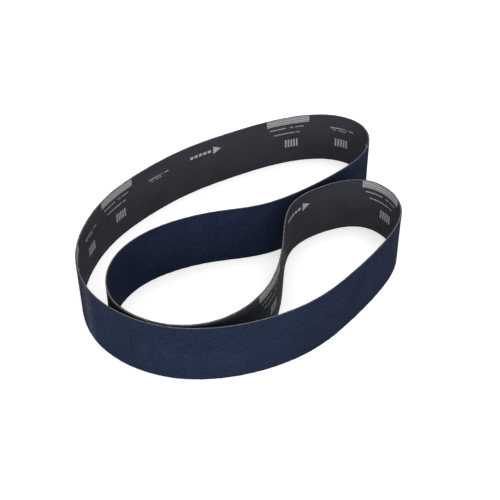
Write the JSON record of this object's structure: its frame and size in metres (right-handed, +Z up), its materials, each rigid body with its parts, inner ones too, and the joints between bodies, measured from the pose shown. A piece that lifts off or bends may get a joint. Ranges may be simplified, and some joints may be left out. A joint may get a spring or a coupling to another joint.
{
  "type": "abrasive belt",
  "caption": "Endless cloth-backed abrasive belt for a belt grinder, standing on its edge and folded into a free closed loop with a bay pushed in from one side.",
  "frame": {"origin": "under the middle of the folded belt's box, on the surface that it stands on", "axes": "+Z up, across the belt's width; -Y is the front, the side with the long plain grit wall; +X to the right"},
  "size_m": [0.2676, 0.3124, 0.0508],
  "materials": {
    "back_coat": "matt charcoal backfill over cloth",
    "cloth_backing": "raw cut edge of heavy woven polyester",
    "make_resin": "cured phenolic resin",
    "abrasive_grain": "60 grit grain, sharp and matt",
    "size_resin": "navy resin over the grain, satin on its high points",
    "splice_bead": "cured polyurethane bead",
    "splice_adhesive": "cured clear-amber film",
    "splice_tape": "satin reinforced polyester film",
    "print_ink": "thin pale grey flexo ink"
  },
  "bodies": {
    "root": {"back_coat": "back_coat", "cloth_backing": "cloth_backing", "make_coat": "make_resin", "abrasive_grain": "abrasive_grain", "size_coat": "size_resin", "splice_seam": "splice_bead", "splice_adhesive": "splice_adhesive", "splice_tape": "splice_tape"}
  },
  "joints": []
}
